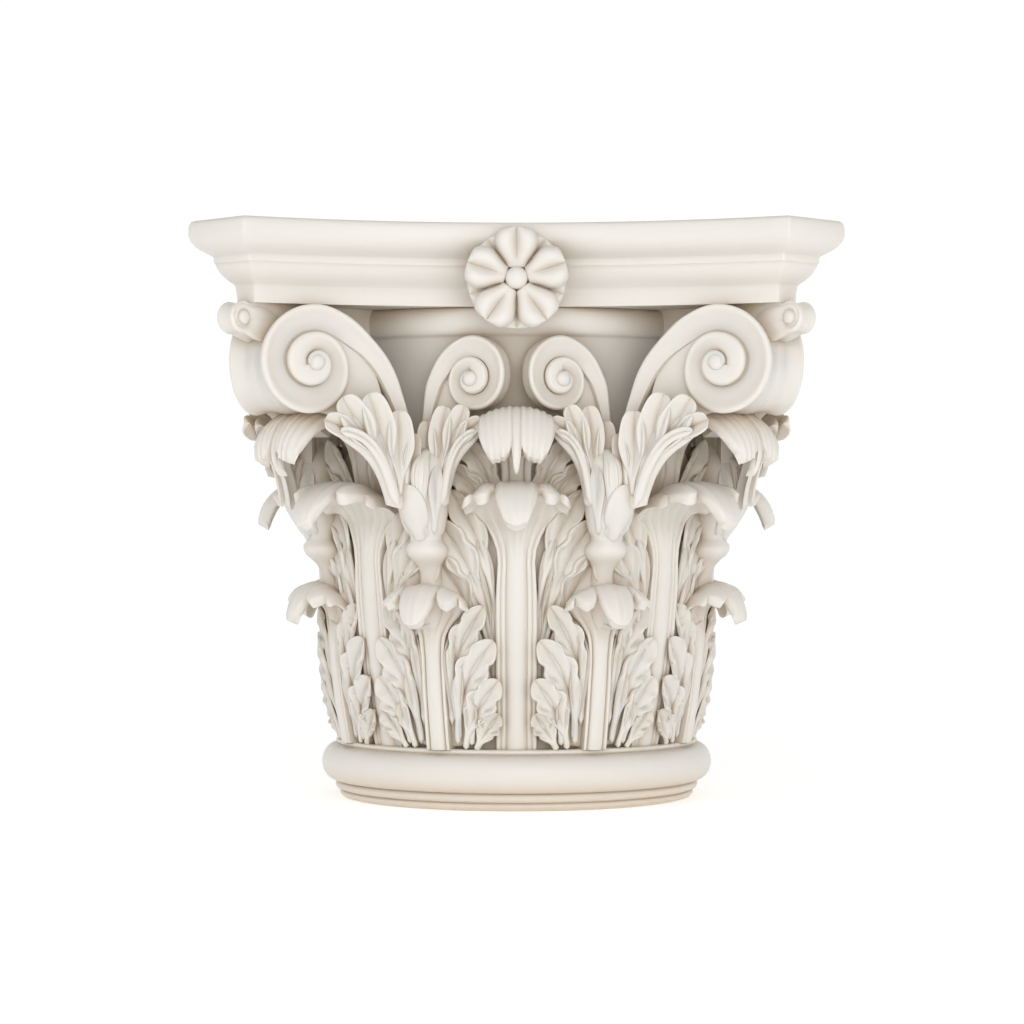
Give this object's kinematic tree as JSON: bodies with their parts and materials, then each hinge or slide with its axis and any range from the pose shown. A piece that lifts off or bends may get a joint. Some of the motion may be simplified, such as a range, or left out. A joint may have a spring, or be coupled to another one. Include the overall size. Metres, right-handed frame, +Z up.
{
  "type": "corinthian capital",
  "caption": "Carved marble Corinthian capital with acanthus leaves, corner volutes, helices and a concave abacus, for the top of a column.",
  "frame": {"origin": "centre of the round underside, where the capital sits on the column's shaft", "axes": "+Z up along the column's axis; -Y towards the face seen in the picture; +X to that face's right"},
  "size_m": [0.602, 0.602, 0.548],
  "materials": {
    "marble": "satin"
  },
  "bodies": {
    "root": {"capital": "marble"}
  },
  "joints": []
}
